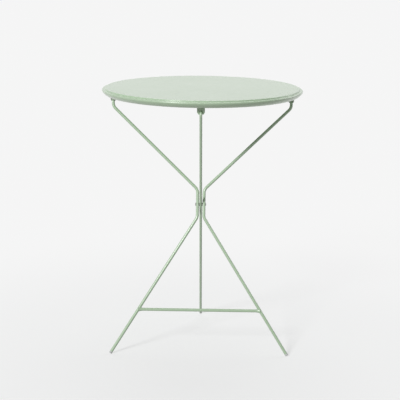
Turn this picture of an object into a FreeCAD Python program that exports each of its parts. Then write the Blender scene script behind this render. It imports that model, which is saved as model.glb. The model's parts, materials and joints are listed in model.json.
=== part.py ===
import FreeCAD, Part
import math
import os

import Sketcher

# Folding bistro table in steel, millimetres, +Z up.
# The origin is on the floor below the middle of the top. The front, with the catch and two feet, is at -Y.

Vector = FreeCAD.Vector
doc = FreeCAD.newDocument("FoldingTable")

# Driving sizes: alias, value, what it measures.
SIZES = [
    ("top_diameter", "600", "outside of the rolled rim"),
    ("table_height", "760", "floor to the upper face of the top"),
    ("sheet_thickness", "1.2", "pressed steel of the top"),
    ("rim_radius", "3.6", "outer radius of the rim's roll"),
    ("rim_step", "3.8", "drop from the flat top to the rim's crown"),
    ("shoulder_radius", "2.2", "rounding where the flat top turns down to the step"),
    ("rim_ledge", "5.2", "level ring between the step and the rim's roll"),
    ("skirt_radius", "29", "curve of the skirt from the roll in to the lip"),
    ("rim_drop", "21", "lower lip of the rim below the upper face of the top"),
    ("lip_inset", "13.4", "lower lip of the rim, inside the outside of the rim"),
    ("side_rod", "9", "diameter of the side legs"),
    ("bar_rod", "9", "diameter of the crossbar"),
    ("centre_rod", "8", "diameter of the centre leg"),
    ("pivot_drop", "38", "hinge axis below the upper face of the top"),
    ("pivot_inset", "33", "side leg at its hinge, inside the outside of the rim"),
    ("stub_rise", "7", "side leg above its hinge axis"),
    ("stub_length", "22", "hinge axis to the first bend, along the leg"),
    ("waist_height", "423", "waist bolt above the floor"),
    ("waist_above", "44", "waist bolt to the bends above it, along the legs"),
    ("waist_below", "39", "waist bolt to the bends below it, along the legs"),
    ("bend_radius", "24", "side leg bends, at the rod's middle"),
    ("front_reach", "236", "front feet ahead of the middle of the top"),
    ("foot_half_span", "261", "middle of the table to a front foot"),
    ("crossbar_height", "125", "crossbar above the floor"),
    ("weld_width", "1.6", "weld bead beyond the crossbar's radius"),
    ("weld_length", "5", "weld bead along the crossbar"),
    ("peg_drop", "36", "axis of the centre leg's peg below the upper face of the top"),
    ("hook_inset", "23", "corner of the centre leg's hook, inside the outside of the rim"),
    ("hook_radius", "7", "bend of the centre leg into its peg, at the rod's middle"),
    ("peg_head_diameter", "13", "upset head that stops the peg behind the catch"),
    ("peg_head_length", "3", "thickness of that head"),
    ("catch_width", "22", "catch plate across"),
    ("catch_sheet", "2.5", "catch plate thickness"),
    ("catch_below_peg", "8", "catch plate below the peg's axis"),
    ("catch_corner", "10", "rounded lower corners of the catch"),
    ("catch_flange", "22", "welded flange of the catch, front to back"),
    ("catch_bend", "3", "inner bend of the catch"),
    ("slot_clearance", "0.5", "catch slot round the peg"),
    ("catch_gap", "0.6", "between the hook's bend and the catch"),
    ("peg_play", "0.5", "between the catch and the peg's head"),
    ("ear_radius", "6", "bracket ear round its hinge bolt"),
    ("ear_sheet", "1.8", "bracket sheet"),
    ("bracket_half_base", "15", "half the bracket's length where it is welded"),
    ("ear_clearance", "0.3", "between a bracket ear and the rod's side"),
    ("bolt_diameter", "5", "hinge bolts and waist bolt"),
    ("bolt_clearance", "0.05", "radial play of a bolt in its hole"),
    ("bolt_head_diameter", "9", "low domed bolt heads"),
    ("bolt_head_height", "1.8", "low domed bolt heads"),
    ("nut_flats", "8", "low cap nuts across the flats"),
    ("nut_height", "1.6", "hexagon of the cap nuts"),
    ("nut_dome", "0.8", "dome of the cap nuts"),
    ("nut_shoulder", "0.6", "level ring round the dome of a cap nut"),
    ("nut_engagement", "1.4", "bolt end inside its cap nut"),
    ("washer_diameter", "8.6", "all washers and spacers"),
    ("waist_washer_sheet", "0.8", "washers at the ends of the waist bolt"),
    ("spacer_thickness", "2.6", "spacers between the legs at the waist"),
    ("spotface_depth", "0.7", "flat cut into a rod where a washer sits"),
    ("spotface_margin", "0.4", "spotface beyond the washer's radius"),
    ("pivot_play", "0.1", "end play of a turning joint"),
    ("glide_head", "6", "visible length of a foot glide"),
    ("glide_stem_diameter", "4.4", "stem pressed into the rod"),
    ("glide_stem_length", "12", "stem pressed into the rod"),
    ("glide_rounding", "1", "worn edge of a glide"),
    ("sole_trim", "0.8", "flat worn onto a glide where it stands"),
    ("floor_cut", "40", "block that trims the glides at floor level"),
]

# Worked-out sizes: alias, formula, what it measures.
WORKED = [
    ("top_radius", "=Sizes.top_diameter / 2", "outside of the rim"),
    ("underside", "=Sizes.table_height - Sizes.sheet_thickness", "lower face of the flat top"),
    ("rim_centre", "=top_radius - Sizes.rim_radius", "radius of the roll's centre line"),
    ("step_radius", "=rim_centre - Sizes.rim_ledge", "radius of the step"),
    ("crown_height", "=Sizes.table_height - Sizes.rim_step", "crown of the rolled rim"),
    ("roll_height", "=crown_height - Sizes.rim_radius", "centre of the roll"),
    ("roll_inside", "=Sizes.rim_radius - Sizes.sheet_thickness", "inner radius of the roll"),
    ("lip_radius", "=top_radius - Sizes.lip_inset", "radius of the rim's lower lip"),
    ("lip_height", "=Sizes.table_height - Sizes.rim_drop", "lower lip of the rim above the floor"),
    ("lip_inward", "=rim_centre - lip_radius", "roll's centre to the lip, inwards"),
    ("lip_downward", "=roll_height - lip_height", "roll's centre to the lip, downwards"),
    ("lip_reach", "=sqrt(lip_inward ^ 2 + lip_downward ^ 2)", "roll's centre to the lip"),
    ("lip_bearing", "=90 deg + atan2(lip_inward; lip_downward)", "roll's centre to the lip, below level"),
    ("skirt_offset", "=Sizes.skirt_radius - Sizes.rim_radius", "roll's centre to the skirt's centre"),
    ("skirt_span", "=Sizes.skirt_radius ^ 2 - skirt_offset ^ 2 - lip_reach ^ 2", "law of cosines at the roll"),
    ("skirt_start", "=lip_bearing - acos(skirt_span / (2 * lip_reach * skirt_offset))", "roll's end, below level"),
    ("skirt_middle", "=rim_centre - skirt_offset * cos(skirt_start)", "radius of the skirt's centre"),
    ("skirt_above", "=roll_height + skirt_offset * sin(skirt_start)", "skirt's centre above the floor"),
    ("lip_slope", "=atan2(skirt_above - lip_height; lip_radius - skirt_middle)", "skirt's end, below level"),
    ("shoulder_inside", "=Sizes.shoulder_radius - Sizes.sheet_thickness", "inner radius of the shoulder"),
    ("pivot_half_span", "=top_radius - Sizes.pivot_inset", "middle of the table to a side leg at its hinge"),
    ("pivot_height", "=Sizes.table_height - Sizes.pivot_drop", "hinge axis above the floor"),
    ("frame_lean", "=atan2(Sizes.front_reach; pivot_height)", "side frame from upright"),
    ("pivot_along", "=pivot_height / cos(frame_lean)", "hinge axis along the side frame"),
    ("waist_along", "=Sizes.waist_height / cos(frame_lean)", "waist along the side frame"),
    ("waist_front", "=Sizes.front_reach - Sizes.waist_height * tan(frame_lean)", "waist ahead of the middle"),
    ("side_flat", "=Sizes.side_rod / 2 - Sizes.spotface_depth", "side leg's axis to its spotface"),
    ("centre_flat", "=Sizes.centre_rod / 2 - Sizes.spotface_depth", "centre leg's axis to its spotface"),
    ("spacer_start", "=centre_flat + Sizes.pivot_play", "inner face of a waist spacer"),
    ("spacer_end", "=spacer_start + Sizes.spacer_thickness", "outer face of a waist spacer"),
    ("waist_offset", "=spacer_end + side_flat", "middle to a side leg at the waist"),
    ("waist_seat", "=waist_offset + side_flat", "outer spotface of a side leg at the waist"),
    ("waist_end", "=waist_seat + Sizes.waist_washer_sheet", "seat of the waist bolt's head and nut"),
    ("bolt_hole", "=Sizes.bolt_diameter / 2 + Sizes.bolt_clearance", "radius of the bolt holes"),
    ("spotface_radius", "=Sizes.washer_diameter / 2 + Sizes.spotface_margin", "radius of the spotfaces"),
    ("stub_top", "=pivot_along + Sizes.stub_rise", "upper end of a side leg, along it"),
    ("stub_bend", "=pivot_along - Sizes.stub_length", "first bend, along the frame"),
    ("high_bend", "=waist_along + Sizes.waist_above", "bend above the waist"),
    ("low_bend", "=waist_along - Sizes.waist_below", "bend below the waist"),
    ("lower_run", "=Sizes.foot_half_span - waist_offset", "sideways run of the lower leg"),
    ("lower_length", "=sqrt(lower_run ^ 2 + low_bend ^ 2)", "lower leg, bend to floor"),
    ("leg_upright", "=low_bend * cos(frame_lean) / lower_length", "cosine of the lower leg from upright"),
    ("leg_slant", "=sqrt(1 - leg_upright ^ 2)", "sine of the lower leg from upright"),
    ("side_tip", "=(Sizes.side_rod / 2 * leg_slant - Sizes.sole_trim) / leg_upright", "floor to a glide's end"),
    ("side_cut", "=side_tip + Sizes.glide_head", "floor to a side rod's end, along the leg"),
    ("side_end_x", "=Sizes.foot_half_span - side_cut * lower_run / lower_length", "end of a side rod"),
    ("side_end_along", "=side_cut * low_bend / lower_length", "end of a side rod"),
    ("bar_along", "=Sizes.crossbar_height / cos(frame_lean)", "crossbar along the side frame"),
    ("bar_front", "=Sizes.front_reach - Sizes.crossbar_height * tan(frame_lean)", "crossbar ahead of middle"),
    ("bar_half", "=Sizes.foot_half_span - bar_along * lower_run / low_bend", "middle to the bar's end"),
    ("peg_height", "=Sizes.table_height - Sizes.peg_drop", "peg above the floor"),
    ("hook_front", "=top_radius - Sizes.hook_inset", "hook's corner ahead of the middle"),
    ("hook_rise", "=peg_height - Sizes.waist_height", "waist to the hook's corner, upwards"),
    ("rear_lean", "=atan2(hook_front - waist_front; hook_rise)", "centre leg from upright"),
    ("rear_reach", "=Sizes.waist_height * tan(rear_lean) - waist_front", "rear foot behind the middle"),
    ("hook_tangent", "=Sizes.hook_radius * tan(45 deg + rear_lean / 2)", "hook's corner to its straight peg"),
    ("catch_face", "=hook_front - hook_tangent - Sizes.catch_gap", "front face of the catch"),
    ("catch_back", "=catch_face - Sizes.catch_sheet", "back face of the catch"),
    ("peg_end", "=catch_back - Sizes.peg_play", "front face of the peg's head"),
    ("catch_bottom", "=peg_height - Sizes.catch_below_peg", "lower edge of the catch"),
    ("slot_half", "=Sizes.centre_rod / 2 + Sizes.slot_clearance", "half the catch's slot"),
    ("catch_outer_bend", "=Sizes.catch_bend + Sizes.catch_sheet", "outer bend of the catch"),
    ("rear_rise", "=Sizes.centre_rod / 2 * sin(rear_lean) - Sizes.sole_trim", "rear glide's end above the floor"),
    ("rear_tip", "=rear_rise / cos(rear_lean)", "floor to the rear glide's end, along the leg"),
    ("rear_cut", "=rear_tip + Sizes.glide_head", "floor to the centre rod's end, along the leg"),
    ("rear_end_back", "=rear_reach - rear_cut * sin(rear_lean)", "end of the centre rod"),
    ("rear_end_height", "=rear_cut * cos(rear_lean)", "end of the centre rod"),
    ("ear_gap", "=Sizes.side_rod / 2 + Sizes.ear_clearance", "side leg's axis to a bracket ear"),
    ("ear_outside", "=ear_gap + Sizes.ear_sheet", "side leg's axis to an ear's outer face"),
    ("ear_height", "=underside - pivot_height", "hinge axis to the welded face"),
    ("ear_reach", "=sqrt(ear_height ^ 2 + Sizes.bracket_half_base ^ 2)", "hinge axis to the bracket's corner"),
    ("ear_slope", "=atan2(ear_height; Sizes.bracket_half_base)", "hinge axis to that corner, from level"),
    ("ear_turn", "=ear_slope - acos(Sizes.ear_radius / ear_reach)", "where an ear's side leaves its round end"),
    ("ear_side_y", "=Sizes.ear_radius * cos(ear_turn)", "where an ear's side meets its round end"),
    ("ear_side_z", "=Sizes.ear_radius * sin(ear_turn)", "where an ear's side meets its round end"),
    ("hinge_washer_sheet", "=ear_gap - side_flat - Sizes.pivot_play", "washer between a rod and an ear"),
]


def make_sheet(name, rows):
    """Spreadsheet with a note, a value and an alias on each row."""
    sheet = doc.addObject("Spreadsheet::Sheet", name)
    for row, (alias, content, note) in enumerate(rows, start=1):
        sheet.set(f"A{row}", note)
        sheet.set(f"B{row}", content)
        sheet.setAlias(f"B{row}", alias)
    doc.recompute()
    return sheet


sizes = make_sheet("Sizes", SIZES)
worked = make_sheet("Worked", WORKED)


def value(expression):
    """Number that an expression gives now."""
    result = worked.evalExpression(expression)
    return float(getattr(result, "Value", result))


# Edges and points closer than this are taken as one.
MATCH = 0.01


# Sketch helpers. A point is a pair of expressions.

def new_body(label):
    body = doc.addObject("PartDesign::Body", label)
    body.Label = label
    return body


def new_sketch(body, role, name, offset=None):
    """Sketch on one of the body's own planes, moved by expressions for its x, y and z."""
    plane = next(feature for feature in body.Origin.OriginFeatures if feature.Role == role)
    sketch = body.newObject("Sketcher::SketchObject", name)
    sketch.AttachmentSupport = [(plane, "")]
    sketch.MapMode = "FlatFace"
    for axis, expression in (offset or {}).items():
        sketch.setExpression(f"AttachmentOffset.Base.{axis}", expression)
    return sketch


def dimension(sketch, constraint, expression):
    """Add a dimension and bind it to its expression."""
    index = sketch.addConstraint(constraint)
    sketch.setExpression(f"Constraints[{index}]", expression)


def pin_point(sketch, geometry, position, point):
    """Fix a sketch point at a pair of expressions."""
    kinds = (("DistanceX", point[0], -2), ("DistanceY", point[1], -1))
    for kind, expression, axis in kinds:
        if expression == "0":
            sketch.addConstraint(Sketcher.Constraint("PointOnObject", geometry, position, axis))
        else:
            constraint = Sketcher.Constraint(kind, -1, 1, geometry, position, value(expression))
            dimension(sketch, constraint, expression)


def place(point):
    return Vector(value(point[0]), value(point[1]), 0)


def arc_between(start, end, centre, turn):
    """Arc from start to end about centre; turn is 1 for anticlockwise and -1 for clockwise."""
    first, last = (start, end) if turn > 0 else (end, start)
    angle_first = math.atan2(first.y - centre.y, first.x - centre.x)
    angle_last = math.atan2(last.y - centre.y, last.x - centre.x)
    if angle_last <= angle_first:
        angle_last += 2 * math.pi
    circle = Part.Circle(centre, Vector(0, 0, 1), (first - centre).Length)
    return Part.ArcOfCircle(circle, angle_first, angle_last)


def draw_outline(sketch, points, arcs=None):
    """Closed outline. arcs gives, for the edge after a point, its turn and its centre's x or y."""
    arcs = arcs or {}
    edges = []
    for index, point in enumerate(points):
        start = place(point)
        end = place(points[(index + 1) % len(points)])
        if index in arcs:
            turn, centre = arcs[index]
            geometry = sketch.addGeometry(arc_between(start, end, place(centre), turn))
            edges.append((geometry, 1, 2) if turn > 0 else (geometry, 2, 1))
        else:
            edges.append((sketch.addGeometry(Part.LineSegment(start, end)), 1, 2))
    for index, (geometry, first, last) in enumerate(edges):
        following, following_first, _ = edges[(index + 1) % len(edges)]
        sketch.addConstraint(Sketcher.Constraint("Coincident", geometry, last, following, following_first))
        pin_point(sketch, geometry, first, points[index])
    for index, (turn, centre) in arcs.items():
        chord = place(points[(index + 1) % len(points)]) - place(points[index])
        kind, expression = ("DistanceX", centre[0]) if abs(chord.y) > abs(chord.x) else ("DistanceY", centre[1])
        axis = -2 if kind == "DistanceX" else -1
        geometry = edges[index][0]
        if expression == "0":
            sketch.addConstraint(Sketcher.Constraint("PointOnObject", geometry, 3, axis))
        else:
            constraint = Sketcher.Constraint(kind, -1, 1, geometry, 3, value(expression))
            dimension(sketch, constraint, expression)


def draw_circle(sketch, radius):
    """Circle about the sketch's origin; a circle's point 3 is its centre."""
    geometry = sketch.addGeometry(Part.Circle(Vector(), Vector(0, 0, 1), value(radius)))
    pin_point(sketch, geometry, 3, ("0", "0"))
    dimension(sketch, Sketcher.Constraint("Radius", geometry, value(radius)), radius)


def draw_rod_path(sketch, corners, radius):
    """Straight runs between the corners, joined by tangent bends of one radius."""
    points = [place(corner) for corner in corners]
    bend = value(radius)
    starts, ends, bends = [points[0]], [], []
    for before, corner, after in zip(points, points[1:], points[2:]):
        incoming = (corner - before).normalize()
        outgoing = (after - corner).normalize()
        turn = 1 if incoming.cross(outgoing).z > 0 else -1
        tangent = bend * math.tan(incoming.getAngle(outgoing) / 2)
        ends.append(corner - incoming * tangent)
        starts.append(corner + outgoing * tangent)
        side = Vector(-incoming.y, incoming.x, 0) * turn
        bends.append((ends[-1] + side * bend, turn))
    ends.append(points[-1])
    runs, arcs = [], []
    for index, (start, end) in enumerate(zip(starts, ends)):
        runs.append(sketch.addGeometry(Part.LineSegment(start, end)))
        if index < len(bends):
            centre, turn = bends[index]
            arc = arc_between(end, starts[index + 1], centre, turn)
            arcs.append((sketch.addGeometry(arc), turn))
    for index, (arc, turn) in enumerate(arcs):
        arc_start, arc_end = (1, 2) if turn > 0 else (2, 1)
        sketch.addConstraint(Sketcher.Constraint("Tangent", runs[index], 2, arc, arc_start))
        sketch.addConstraint(Sketcher.Constraint("Tangent", arc, arc_end, runs[index + 1], 1))
        dimension(sketch, Sketcher.Constraint("Radius", arc, bend), radius)
        corner = sketch.addGeometry(Part.Point(points[index + 1]), True)
        pin_point(sketch, corner, 1, corners[index + 1])
        sketch.addConstraint(Sketcher.Constraint("PointOnObject", corner, 1, runs[index]))
        sketch.addConstraint(Sketcher.Constraint("PointOnObject", corner, 1, runs[index + 1]))
    pin_point(sketch, runs[0], 1, corners[0])
    pin_point(sketch, runs[-1], 2, corners[-1])


# Feature helpers.

def pad(body, sketch, name, length, symmetric=True, reverse=False):
    feature = body.newObject("PartDesign::Pad", name)
    feature.Profile = sketch
    feature.Midplane = symmetric
    feature.Reversed = reverse
    feature.setExpression("Length", length)
    doc.recompute()
    return feature


def cut(body, sketch, name, length=None, reverse=False):
    """Pocket right through on both sides, or to a length on one side; it has to take material away."""
    before = body.Shape.Volume
    feature = body.newObject("PartDesign::Pocket", name)
    feature.Profile = sketch
    feature.Reversed = reverse
    if length is None:
        feature.Type = 1
        feature.Midplane = True
    else:
        feature.setExpression("Length", length)
    doc.recompute()
    if body.Shape.Volume >= before:
        raise RuntimeError(f"{body.Label}: {name} cuts nothing")
    return feature


def revolve(body, sketch, name, axis):
    feature = body.newObject("PartDesign::Revolution", name)
    feature.Profile = sketch
    feature.ReferenceAxis = (sketch, [axis])
    feature.Angle = 360
    doc.recompute()
    return feature


def sweep(body, profile, path, name):
    feature = body.newObject("PartDesign::AdditivePipe", name)
    feature.Profile = profile
    feature.Spine = (path, [])
    doc.recompute()
    return feature


def fillet_edges(body, base, name, radius, chosen):
    """Round the edges whose middle point passes the test."""
    names = []
    for index, edge in enumerate(base.Shape.Edges, start=1):
        if chosen(edge):
            names.append(f"Edge{index}")
    feature = body.newObject("PartDesign::Fillet", name)
    feature.Base = (base, names)
    feature.setExpression("Radius", radius)
    doc.recompute()
    return feature


def put(item, x="0", y="0", z="0", rotation=None):
    """Place an item by expressions for its position, after its rotation."""
    if rotation is not None:
        item.Placement = FreeCAD.Placement(Vector(), rotation)
    for axis, expression in (("x", x), ("y", y), ("z", z)):
        if expression != "0":
            item.setExpression(f"Placement.Base.{axis}", expression)
    doc.recompute()


TURN_AROUND = FreeCAD.Rotation(Vector(0, 0, 1), 180)
SIDES = (("left", "-", TURN_AROUND), ("right", "", FreeCAD.Rotation()))
nodes = []


# Tabletop: one pressed sheet, spun about Z. The outer face runs out over the step, round the roll and down the
# skirt, which curves in to a lip. The inner face runs back one sheet thickness inside it.

tabletop = new_body("tabletop")
section = new_sketch(tabletop, "XZ_Plane", "TopSection")
THICK = "Sizes.sheet_thickness"
ROLL_OUT, ROLL_DOWN = "cos(Worked.skirt_start)", "sin(Worked.skirt_start)"
LIP_OUT, LIP_DOWN = "cos(Worked.lip_slope)", "sin(Worked.lip_slope)"
section_points = [
    ("0", "Sizes.table_height"),
    ("Worked.step_radius - Sizes.shoulder_radius", "Sizes.table_height"),
    ("Worked.step_radius", "Sizes.table_height - Sizes.shoulder_radius"),
    ("Worked.step_radius", "Worked.crown_height"),
    ("Worked.rim_centre", "Worked.crown_height"),
    (f"Worked.rim_centre + Sizes.rim_radius * {ROLL_OUT}", f"Worked.roll_height - Sizes.rim_radius * {ROLL_DOWN}"),
    ("Worked.lip_radius", "Worked.lip_height"),
    (f"Worked.lip_radius - {THICK} * {LIP_OUT}", f"Worked.lip_height + {THICK} * {LIP_DOWN}"),
    (f"Worked.rim_centre + Worked.roll_inside * {ROLL_OUT}",
     f"Worked.roll_height - Worked.roll_inside * {ROLL_DOWN}"),
    ("Worked.rim_centre", f"Worked.crown_height - {THICK}"),
    (f"Worked.step_radius - {THICK}", f"Worked.crown_height - {THICK}"),
    (f"Worked.step_radius - {THICK}", "Sizes.table_height - Sizes.shoulder_radius"),
    ("Worked.step_radius - Sizes.shoulder_radius", "Worked.underside"),
    ("0", "Worked.underside"),
]
shoulder_centre = ("Worked.step_radius - Sizes.shoulder_radius", "Sizes.table_height - Sizes.shoulder_radius")
roll_centre = ("Worked.rim_centre", "Worked.roll_height")
skirt_centre = ("Worked.skirt_middle", "Worked.skirt_above")
CLOCKWISE, ANTICLOCKWISE = -1, 1
section_arcs = {
    1: (CLOCKWISE, shoulder_centre),
    4: (CLOCKWISE, roll_centre),
    5: (CLOCKWISE, skirt_centre),
    7: (ANTICLOCKWISE, skirt_centre),
    8: (ANTICLOCKWISE, roll_centre),
    11: (ANTICLOCKWISE, shoulder_centre),
}
draw_outline(section, section_points, section_arcs)
revolve(tabletop, section, "TopSpin", "V_Axis")
nodes.append(tabletop)


# Hinge brackets, bolts, nuts and washers: one set at each side leg.

def hinge_bracket(label, side):
    """Inverted U of sheet: two ears round the rod, with a welded base against the underside of the top."""
    body = new_body(label)
    ear = new_sketch(body, "YZ_Plane", label + "_ear", {"y": "Worked.pivot_height"})
    points = [
        ("Sizes.bracket_half_base", "Worked.ear_height"),
        ("-Sizes.bracket_half_base", "Worked.ear_height"),
        ("-Worked.ear_side_y", "Worked.ear_side_z"),
        ("Worked.ear_side_y", "Worked.ear_side_z"),
    ]
    draw_outline(ear, points, {2: (ANTICLOCKWISE, ("0", "0"))})
    block = pad(body, ear, label + "_block", "2 * Worked.ear_outside")

    def along_top_corner(edge):
        middle = edge.CenterOfMass
        at_corner = abs(abs(middle.x) - value("Worked.ear_outside")) < MATCH
        return at_corner and abs(middle.z - value("Worked.underside")) < MATCH

    fillet_edges(body, block, label + "_bends", "Sizes.ear_sheet", along_top_corner)
    gap = new_sketch(body, "XZ_Plane", label + "_gap", {"y": "Worked.pivot_height"})
    low, high = "-2 * Sizes.ear_radius", "Worked.ear_height - Sizes.ear_sheet"
    wide = "Worked.ear_gap"
    draw_outline(gap, [(wide, low), (wide, high), ("-" + wide, high), ("-" + wide, low)])
    cut(body, gap, label + "_between_ears")
    hole = new_sketch(body, "YZ_Plane", label + "_hole", {"y": "Worked.pivot_height"})
    draw_circle(hole, "Worked.bolt_hole")
    cut(body, hole, label + "_bolt_hole")
    put(body, x=side + "Worked.pivot_half_span")
    return body


def domed_bolt(label, seat, end):
    """Bolt along X. Its head seats at x = seat, outside it, and its shank ends at x = -end."""
    body = new_body(label)
    half = new_sketch(body, "XY_Plane", label + "_half")
    head, shank = "Sizes.bolt_head_diameter / 2", "Sizes.bolt_diameter / 2"
    crown = f"({seat} + Sizes.bolt_head_height)"
    dome_back = f"({head}) ^ 2 / Sizes.bolt_head_height"
    dome_centre = (f"{crown} - ({dome_back} + Sizes.bolt_head_height) / 2", "0")
    points = [
        (crown, "0"),
        (seat, head),
        (seat, shank),
        (f"-({end})", shank),
        (f"-({end})", "0"),
    ]
    draw_outline(half, points, {0: (ANTICLOCKWISE, dome_centre)})
    revolve(body, half, label + "_spin", "H_Axis")
    return body


def cap_nut(label, seat):
    """Low cap nut along X, seated at x = -seat, with a blind hole for the bolt's end."""
    body = new_body(label)
    base = new_sketch(body, "YZ_Plane", label + "_hexagon", {"z": f"-({seat})"})
    corner = "Sizes.nut_flats / 2 / cos(30 deg)"
    points = []
    for index in range(6):
        angle = f"{60 * index} deg"
        points.append((f"{corner} * cos({angle})", f"{corner} * sin({angle})"))
    points[0] = (corner, "0")
    points[3] = (f"-{corner}", "0")
    draw_outline(base, points)
    pad(body, base, label + "_flats", "Sizes.nut_height", symmetric=False, reverse=True)
    half = new_sketch(body, "XY_Plane", label + "_half")
    rim = "Sizes.nut_flats / 2 - Sizes.nut_shoulder"
    shoulder = f"-({seat} + Sizes.nut_height)"
    crown = f"-({seat} + Sizes.nut_height + Sizes.nut_dome)"
    dome_back = f"({rim}) ^ 2 / Sizes.nut_dome"
    dome_centre = (f"{crown} + ({dome_back} + Sizes.nut_dome) / 2", "0")
    draw_outline(half, [(crown, "0"), (shoulder, rim), (shoulder, "0")], {0: (CLOCKWISE, dome_centre)})
    revolve(body, half, label + "_dome", "H_Axis")
    hole = new_sketch(body, "YZ_Plane", label + "_bore", {"z": f"-({seat})"})
    draw_circle(hole, "Worked.bolt_hole")
    cut(body, hole, label + "_blind_hole", "Sizes.nut_engagement + Sizes.pivot_play")
    return body


def washer(label, start, thickness):
    """Flat ring along X from x = start."""
    body = new_body(label)
    ring = new_sketch(body, "YZ_Plane", label + "_ring", {"z": start})
    draw_circle(ring, "Sizes.washer_diameter / 2")
    draw_circle(ring, "Worked.bolt_hole")
    pad(body, ring, label + "_sheet", thickness, symmetric=False)
    return body


for name, side, turned in SIDES:
    span = side + "Worked.pivot_half_span"
    height = "Worked.pivot_height"
    nodes.append(hinge_bracket(f"{name}_hinge_bracket", side))
    bolt = domed_bolt(f"{name}_hinge_bolt", "Worked.ear_outside", "Worked.ear_outside + Sizes.nut_engagement")
    nut = cap_nut(f"{name}_hinge_nut", "Worked.ear_outside")
    outer_seat = "Worked.side_flat + Sizes.pivot_play"
    outer = washer(f"{name}_hinge_outer_washer", outer_seat, "Worked.hinge_washer_sheet")
    inner = washer(f"{name}_hinge_inner_washer", "-Worked.ear_gap", "Worked.hinge_washer_sheet")
    for item in (bolt, nut, outer, inner):
        put(item, x=span, z=height, rotation=turned)
        nodes.append(item)


# Front catch: bent plate under the front of the top, with a slot that is open below and drops over the peg.

catch = new_body("front_catch")
profile = new_sketch(catch, "YZ_Plane", "CatchProfile")
profile_points = [
    ("-Worked.catch_face", "Worked.catch_bottom"),
    ("-Worked.catch_back", "Worked.catch_bottom"),
    ("-Worked.catch_back", "Worked.underside - Worked.catch_outer_bend"),
    ("-Worked.catch_back + Sizes.catch_bend", "Worked.underside - Sizes.catch_sheet"),
    ("-Worked.catch_face + Sizes.catch_flange", "Worked.underside - Sizes.catch_sheet"),
    ("-Worked.catch_face + Sizes.catch_flange", "Worked.underside"),
    ("-Worked.catch_face + Worked.catch_outer_bend", "Worked.underside"),
    ("-Worked.catch_face", "Worked.underside - Worked.catch_outer_bend"),
]
bend_centre = ("-Worked.catch_back + Sizes.catch_bend", "Worked.underside - Worked.catch_outer_bend")
draw_outline(profile, profile_points, {2: (CLOCKWISE, bend_centre), 6: (ANTICLOCKWISE, bend_centre)})
plate = pad(catch, profile, "CatchPlate", "Sizes.catch_width")


def lower_corner(edge):
    middle = edge.CenterOfMass
    at_side = abs(abs(middle.x) - value("Sizes.catch_width") / 2) < MATCH
    return at_side and abs(middle.z - value("Worked.catch_bottom")) < MATCH


fillet_edges(catch, plate, "CatchCorners", "Sizes.catch_corner", lower_corner)
slot = new_sketch(catch, "XZ_Plane", "CatchSlot")
slot_low = "Worked.catch_bottom - Worked.slot_half"
slot_points = [
    ("Worked.slot_half", slot_low),
    ("Worked.slot_half", "Worked.peg_height"),
    ("-Worked.slot_half", "Worked.peg_height"),
    ("-Worked.slot_half", slot_low),
]
draw_outline(slot, slot_points, {1: (ANTICLOCKWISE, ("0", "Worked.peg_height"))})
cut(catch, slot, "CatchSlotCut")
nodes.append(catch)


# Side legs: each is one bent rod in the leaning plane of the side frame, whose own Y runs up that plane from
# the floor. They are drilled for the hinge bolt and the waist bolt, with flats where washers sit.

FRAME_TURN = FreeCAD.Rotation(Vector(1, 0, 0), 90 - value("Worked.frame_lean"))


def spotface(body, label, where, along, face, outward):
    """Flat at x = face on the rod, cut away towards outward, round a bolt at a height along the frame."""
    flat = new_sketch(body, "YZ_Plane", f"{label}_{where}_flat", {"x": along, "z": face})
    draw_circle(flat, "Worked.spotface_radius")
    cut(body, flat, f"{label}_{where}_spotface", "2 * Sizes.spotface_depth", reverse=outward)


def drill(body, label, where, along):
    """Bolt hole across the rod at a height along the frame."""
    hole = new_sketch(body, "YZ_Plane", f"{label}_{where}_hole", {"x": along})
    draw_circle(hole, "Worked.bolt_hole")
    cut(body, hole, f"{label}_{where}_drilling")


def round_end(shape, point):
    """Circular edge of a rod that is centred at a point, as an edge name."""
    for index, edge in enumerate(shape.Edges, start=1):
        if hasattr(edge.Curve, "Center") and (edge.Curve.Center - point).Length < MATCH:
            return f"Edge{index}"
    raise RuntimeError("no rod end at that point")


def drill_end(body, rod, label, point):
    """Hole in a rod's end for a glide's stem."""
    body_point = Vector(*point)
    hole = body.newObject("Sketcher::SketchObject", label + "_end")
    hole.AttachmentSupport = [(rod, round_end(rod.Shape, body_point))]
    hole.MapMode = "Concentric"
    draw_circle(hole, "Sizes.glide_stem_diameter / 2")
    doc.recompute()
    before = body.Shape.Volume
    feature = body.newObject("PartDesign::Pocket", label + "_stem_hole")
    feature.Profile = hole
    feature.setExpression("Length", "Sizes.glide_stem_length")
    doc.recompute()
    if body.Shape.Volume >= before:
        feature.Reversed = True
        doc.recompute()
    return feature


def side_leg(label, side):
    body = new_body(label)
    span, waist = side + "Worked.pivot_half_span", side + "Worked.waist_offset"
    corners = [
        (span, "Worked.stub_top"),
        (span, "Worked.stub_bend"),
        (waist, "Worked.high_bend"),
        (waist, "Worked.low_bend"),
        (side + "Worked.side_end_x", "Worked.side_end_along"),
    ]
    path = new_sketch(body, "XY_Plane", label + "_path")
    draw_rod_path(path, corners, "Sizes.bend_radius")
    profile = new_sketch(body, "XZ_Plane", label + "_round", {"x": span, "z": "-Worked.stub_top"})
    draw_circle(profile, "Sizes.side_rod / 2")
    rod = sweep(body, profile, path, label + "_rod")
    end = (value(side + "Worked.side_end_x"), value("Worked.side_end_along"), 0)
    drill_end(body, rod, label, end)
    drill(body, label, "hinge", "Worked.pivot_along")
    drill(body, label, "waist", "Worked.waist_along")
    for where, middle, along in (("hinge", span, "Worked.pivot_along"), ("waist", waist, "Worked.waist_along")):
        spotface(body, label, where + "_right", along, f"{middle} + Worked.side_flat", True)
        spotface(body, label, where + "_left", along, f"{middle} - Worked.side_flat", False)
    put(body, y="-Sizes.front_reach", rotation=FRAME_TURN)
    return body


left_leg = side_leg("left_leg", "-")
right_leg = side_leg("right_leg", "")
nodes += [left_leg, right_leg]


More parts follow.
